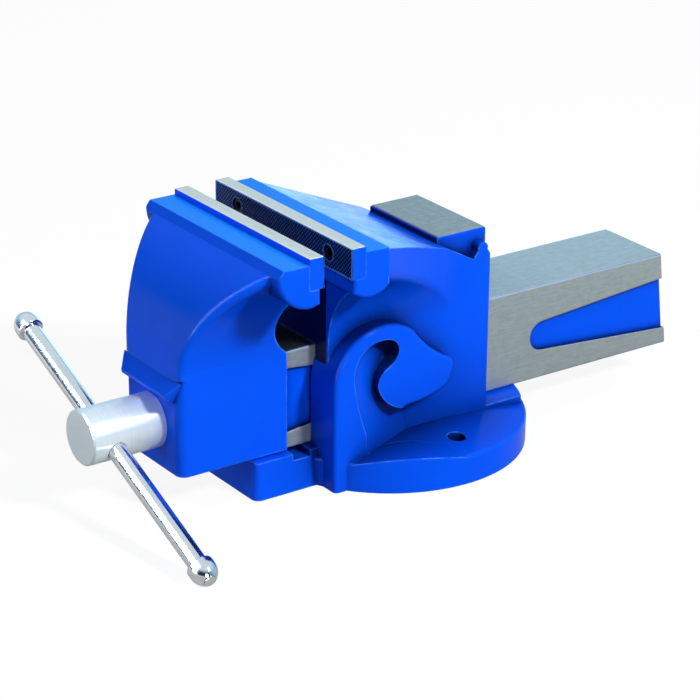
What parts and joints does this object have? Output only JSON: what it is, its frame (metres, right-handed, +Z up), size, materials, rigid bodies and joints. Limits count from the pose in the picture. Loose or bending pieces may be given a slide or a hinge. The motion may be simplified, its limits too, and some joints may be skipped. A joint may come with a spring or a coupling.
{
  "type": "bench vise",
  "caption": "Cast bench vise with a round bolt-down base, box-section slide, hard jaw plates, rear anvil, and a main screw turned by a sliding bar.",
  "frame": {"origin": "midway between the two bench bolt holes, on the face that meets the bench", "axes": "+Z up from the bench, -Y the front where the handle is, +X along the jaws, to the right seen from the front"},
  "size_m": [0.2208, 0.4362, 0.1679],
  "materials": {
    "body_enamel": "gloss",
    "jaw_enamel": "gloss",
    "hard_plate": "ground",
    "black_screw": "black oxide",
    "nut_iron": "machined",
    "zinc_fastener": "zinc plated",
    "spring_steel": "oiled",
    "turned_steel": "turned",
    "bar_chrome": "polished"
  },
  "bodies": {
    "base": {"fixed_body": "body_enamel", "fixed_jaw_plate": "hard_plate", "fixed_jaw_screw_left": "black_screw", "fixed_jaw_screw_right": "black_screw", "main_nut": "nut_iron", "nut_bolt_front": "zinc_fastener", "nut_bolt_rear": "zinc_fastener", "nut_washer_front": "zinc_fastener", "nut_washer_rear": "zinc_fastener"},
    "front_jaw": {"moving_jaw": "jaw_enamel", "moving_jaw_plate": "hard_plate", "moving_jaw_screw_left": "black_screw", "moving_jaw_screw_right": "black_screw", "spring_seat_washer": "zinc_fastener", "screw_spring": "spring_steel"},
    "screw": {"main_screw": "turned_steel", "retaining_washer": "zinc_fastener", "retaining_pin": "zinc_fastener"},
    "handle": {"handle_bar": "bar_chrome", "handle_cap_upper": "bar_chrome", "handle_cap_lower": "bar_chrome"}
  },
  "joints": [
    {"name": "jaw_slide", "type": "slide", "parent": "base", "child": "front_jaw", "axis": [0, 1, 0], "range_m": [-0.13, 0.019]},
    {"name": "screw_spin", "type": "hinge", "parent": "front_jaw", "child": "screw", "pos_m": [0, -0.19, 0.054], "axis": [0, 1, 0], "range_deg": [-9400, 1440]},
    {"name": "handle_slide", "type": "slide", "parent": "screw", "child": "handle", "axis": [0.9239, 0, -0.3827], "range_m": [-0.097, 0.0755]}
  ],
  "couplings": [
    {"joint": "screw_spin", "follows": "jaw_slide", "rad_per_m": 1256.6}
  ]
}
